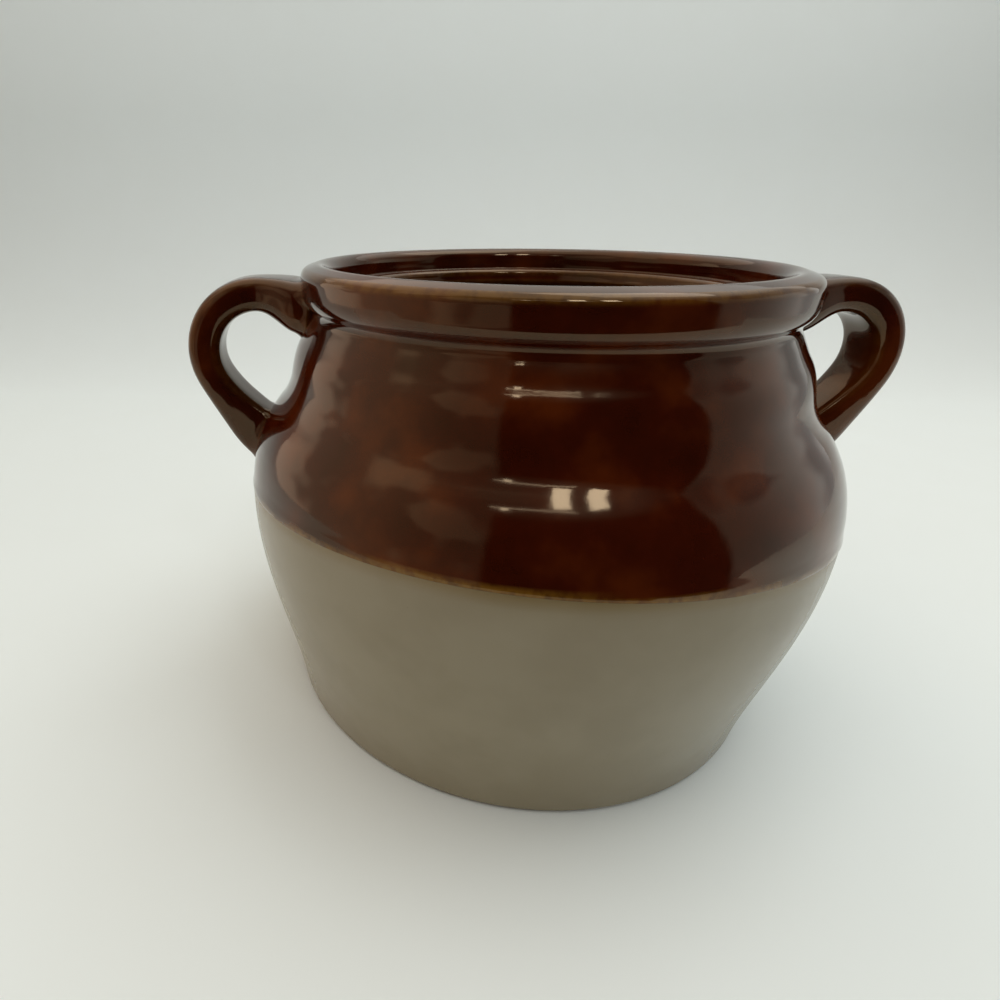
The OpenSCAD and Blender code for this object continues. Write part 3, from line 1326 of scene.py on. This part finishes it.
@dataclass
class Studio:
    """Camera, paper sweep, lamps and a room of soft light that the gloss mirrors."""

    camera_at: Place = (-33.9, -190.2, 147.1)
    yaw: float = -0.0327
    pitch: float = 0.4495
    focal_px: float = 600.0
    centre_px: Point = (408.0, 500.9)
    frame_px: float = 1000.0
    sensor_mm: float = 36.0
    nearest: float = 5.0
    sweep_half: float = 900.0
    sweep_back: float = 560.0
    sweep_front: float = 270.0
    sweep_high: float = 480.0
    sweep_bend: float = 240.0
    sweep_steps: int = 24
    dark_azimuth: float = 20.0
    dark_half_width: float = 42.0
    dark_top: float = 41.0
    dark_blur: float = 0.02
    dark_top_blur: Span = (-0.04, 0.12)
    dim: float = 0.30
    darkest: float = 0.02
    wall_light: float = 0.85
    wall_from: float = -0.2
    blotches: float = 1.5
    blotch_range: Span = (0.46, 0.54)
    blotch_light: Span = (0.62, 1.28)
    left_right_light: Span = (1.12, 0.85)
    ceiling_light: float = 1.25
    ceiling_range: Span = (0.5, 0.85)
    ceiling_back: float = 0.35
    left_tint: str = "#FFEBD6"
    right_tint: str = "#FBFFFB"
    tint_range: Span = (-0.8, 0.5)
    past_sweep: str = "#D3D4CC"

    def add_camera(self) -> None:
        """Stands the camera where the photograph was taken from."""
        data = bpy.data.cameras.new("camera")
        data.sensor_width = self.sensor_mm
        data.lens = self.focal_px / self.frame_px * self.sensor_mm
        data.shift_x = (self.frame_px / 2 - self.centre_px[0]) / self.frame_px
        data.shift_y = (self.centre_px[1] - self.frame_px / 2) / self.frame_px
        data.clip_start = self.nearest * MM
        camera = bpy.data.objects.new("camera", data)
        bpy.context.collection.objects.link(camera)
        flat = math.cos(self.pitch)
        ahead = Vector(
            (math.sin(self.yaw) * flat, math.cos(self.yaw) * flat, -math.sin(self.pitch))
        )
        right = Vector((math.cos(self.yaw), -math.sin(self.yaw), 0))
        up = right.cross(ahead)
        turn = Matrix((right, up, -ahead)).transposed().to_4x4()
        camera.matrix_world = Matrix.Translation(Vector(self.camera_at) * MM) @ turn
        bpy.context.scene.camera = camera

    def add_sweep(self, paper: Material) -> None:
        """Lays the floor and curves it up behind the pot.

        Args:
            paper: the sweep's material.
        """
        pick_only(None)
        depth = self.sweep_back + self.sweep_front
        bpy.ops.mesh.primitive_plane_add(
            size=1.0, location=(0, (self.sweep_back - self.sweep_front) / 2 * MM, 0)
        )
        sweep = bpy.context.object
        sweep.name = "paper_sweep"
        sweep.scale = (2 * self.sweep_half * MM, depth * MM, 1)
        bpy.ops.object.transform_apply(location=True, rotation=True, scale=True)
        bpy.ops.object.mode_set(mode="EDIT")
        back = {i for i, p in enumerate(piece_points(sweep)) if p.y > 0}
        pick_points(sweep, back)
        rise = (0, 0, self.sweep_high * MM)
        bpy.ops.mesh.extrude_region_move(TRANSFORM_OT_translate={"value": rise})
        pick_points(sweep, back)
        bpy.ops.mesh.bevel(
            offset=self.sweep_bend * MM, segments=self.sweep_steps, affect="EDGES"
        )
        bpy.ops.object.mode_set(mode="OBJECT")
        pick_only(sweep)
        bpy.ops.object.shade_smooth()
        sweep.data.materials.append(paper)

    def _walls(self, tree: Tree, ray: Socket, ahead: Socket) -> Socket:
        """Light of the walls: dim in front, bright behind the pot.

        Args:
            tree: the world's node tree.
            ray: the direction looked in.
            ahead: how far it points to the dark front, from -1 to 1.

        Returns:
            The light.
        """
        front = math.cos(math.radians(self.dark_half_width)) - self.dark_blur
        light = (front, self.wall_from, self.dim, self.wall_light)
        walls = add_node(tree, Kind.SPREAD, (ahead, *light))
        # A room is never evenly lit, so its light lies in soft blotches.
        noise = add_node(tree, Kind.NOISE, {"Vector": ray, "Scale": self.blotches, "Detail": 2.0})
        blotches = add_node(tree, Kind.SPREAD, (noise, *self.blotch_range, *self.blotch_light))
        walls = add_node(tree, Kind.MULTIPLY, (walls, blotches))
        # The left side of the room is the brighter one.
        across = add_node(tree, Kind.X, (ray,))
        sides = add_node(tree, Kind.SPREAD, (across, -1.0, 1.0, *self.left_right_light))
        return add_node(tree, Kind.MULTIPLY, (walls, sides))

    def _lit(self, tree: Tree, ray: Socket, ahead: Socket) -> Socket:
        """How much of the room's light is left, by direction.

        Args:
            tree: the world's node tree.
            ray: the direction looked in.
            ahead: how far it points to the dark front, from -1 to 1.

        Returns:
            0 in the dark front, 1 elsewhere.
        """
        front = math.cos(math.radians(self.dark_half_width))
        edges = (front - self.dark_blur, front + self.dark_blur)
        inside = add_node(tree, Kind.SPREAD, (ahead, *edges))
        top = math.sin(math.radians(self.dark_top))
        edges = [top + blur for blur in self.dark_top_blur]
        low = add_node(tree, Kind.SPREAD, (add_node(tree, Kind.Z, (ray,)), *edges, 1.0, 0.0))
        dark = add_node(tree, Kind.MULTIPLY, (inside, low))
        return add_node(tree, Kind.SUBTRACT, (1.0, dark))

    def _room_light(self, tree: Tree) -> Inputs:
        """Colour and strength of the room's light, by the direction looked in.

        Args:
            tree: the world's node tree.

        Returns:
            The inputs of a background.
        """
        ray = add_node(tree, Kind.RAY)
        level = add_node(tree, Kind.STRETCH, (ray, (1.0, 1.0, 0.0)))
        heading = add_node(tree, Kind.NORMALIZE, (level,))
        turn = math.radians(self.dark_azimuth)
        ahead = add_node(tree, Kind.DOT, (heading, (math.sin(turn), -math.cos(turn), 0.0)))
        # The ceiling is brightest behind the pot.
        back, up = add_node(tree, Kind.Y, (ray,)), add_node(tree, Kind.Z, (ray,))
        above = add_node(tree, Kind.MULTIPLY_ADD, (back, self.ceiling_back, up))
        light = (*self.ceiling_range, 0.0, self.ceiling_light)
        ceiling = add_node(tree, Kind.SPREAD, (above, *light))
        room = add_node(tree, Kind.MAXIMUM, (self._walls(tree, ray, ahead), ceiling))
        lit = self._lit(tree, ray, ahead)
        across = add_node(tree, Kind.X, (ray,))
        share = add_node(tree, Kind.SPREAD, (across, *self.tint_range))
        tints = {0: share, 6: linear(self.left_tint), 7: linear(self.right_tint)}
        return {
            "Color": add_node(tree, Kind.MIX, tints),
            "Strength": add_node(tree, Kind.MULTIPLY_ADD, (lit, room, self.darkest)),
        }

    def add_world(self) -> None:
        """Fills the room with pale light from above, behind and the sides.

        The room is dark in front, where the camera stands, as the gloss of the pot shows.
        """
        world = bpy.data.worlds.new("room")
        bpy.context.scene.world = world
        world.use_nodes = True
        tree = world.node_tree
        tree.nodes.clear()
        glow = add_node(tree, Kind.BACKGROUND, self._room_light(tree))
        # Past the sweep's edge the camera sees plain pale grey.
        seen = add_node(tree, Kind.BACKGROUND, {"Color": linear(self.past_sweep), "Strength": 1.0})
        mix = add_node(tree, Kind.MIX_SHADER, (add_node(tree, Kind.CAMERA_RAY), glow, seen))
        output = tree.nodes.new("ShaderNodeOutputWorld")
        tree.links.new(mix, output.inputs["Surface"])

    def build(self, paper: Material) -> None:
        """Sets the camera, the sweep, the lamps and the view transform.

        Args:
            paper: the sweep's material.
        """
        self.add_camera()
        self.add_sweep(paper)
        self.add_world()
        for lamp in LAMPS:
            lamp.hang()
        bpy.context.scene.view_settings.view_transform = "Standard"


def main() -> None:
    """Builds the pot, its finishes and the studio round it."""
    logging.basicConfig(level=logging.INFO, format="%(name)s: %(message)s")
    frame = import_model()
    profile = Profile()
    brown, cream = BrownGlaze().make(), CreamGlaze().make()
    # Poured glaze lies less evenly under the lid seat, which breaks the reflections up.
    poured = BrownGlaze(
        name="iron_brown_glaze_poured_inside",
        ring_mm=3.4,
        ring_height_mm=0.15,
        ring_stretch=0.12,
        low_mm=126.8,
        low_ring_height_mm=0.7,
    ).make()
    clay = BareClay().make()
    node = frame["nodes"]["pot_body"]
    node.data.materials.clear()
    node.data.materials.append(clay)
    LOG.info("pot_body: keeps its CAD mesh, dressed as bare clay")
    GlazeCoats(profile).build(brown, cream, poured)
    StrapHandle(Side.LEFT, profile, top_z=124.95, bend_x=85.75, loop_turn_deg=-7.0).build(brown)
    StrapHandle(Side.RIGHT, profile, top_z=125.65, bend_x=85.8, loop_turn_deg=6.0).build(brown)
    Studio().build(SweepPaper().make())


if __name__ == "__main__":
    main()
